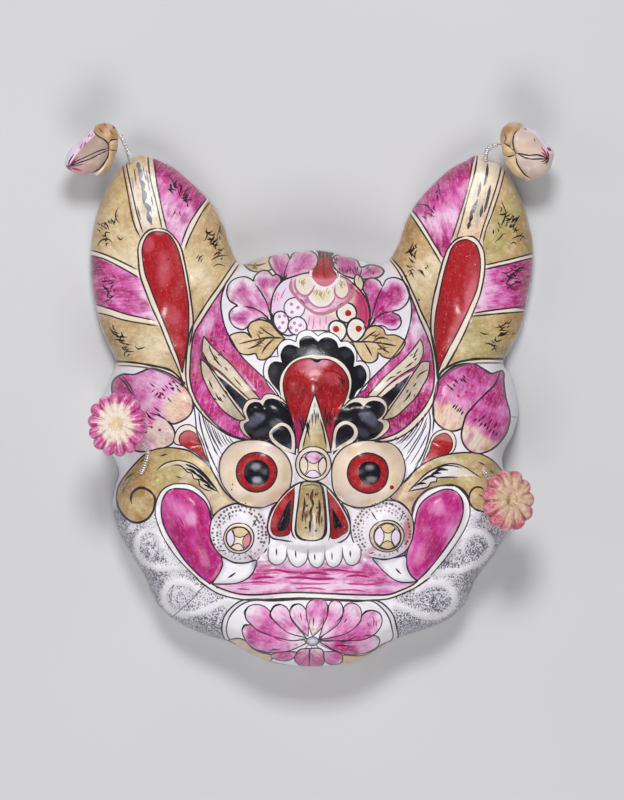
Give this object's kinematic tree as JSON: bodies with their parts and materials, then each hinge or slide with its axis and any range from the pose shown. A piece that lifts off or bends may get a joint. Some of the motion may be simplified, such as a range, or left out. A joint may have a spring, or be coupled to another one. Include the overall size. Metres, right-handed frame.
{
  "type": "folk tiger mask",
  "caption": "Painted clay tiger mask with upright ears, flower buds on coil springs at the ear tips and flowers on coil springs at the cheeks; hollow back, flat rim.",
  "frame": {"origin": "centre of the whole object's footprint, in the plane of the flat back rim", "axes": "+Z out of the face, +Y towards the ears, +X to the right of someone who looks at the face"},
  "size_m": [0.2438, 0.2732, 0.0722],
  "materials": {
    "painted_clay": "painted and varnished pressed clay, semi-gloss",
    "bud_clay": "painted and varnished clay, semi-gloss",
    "flower_clay": "painted and varnished clay, semi-gloss",
    "spring_wire": "bright coiled wire"
  },
  "bodies": {
    "root": {"mask_shell": "painted_clay", "ear_bud_left": "bud_clay", "ear_bud_right": "bud_clay", "cheek_flower_left": "flower_clay", "cheek_flower_right": "flower_clay", "ear_spring_left": "spring_wire", "ear_spring_right": "spring_wire", "cheek_spring_left": "spring_wire", "cheek_spring_right": "spring_wire"}
  },
  "joints": []
}
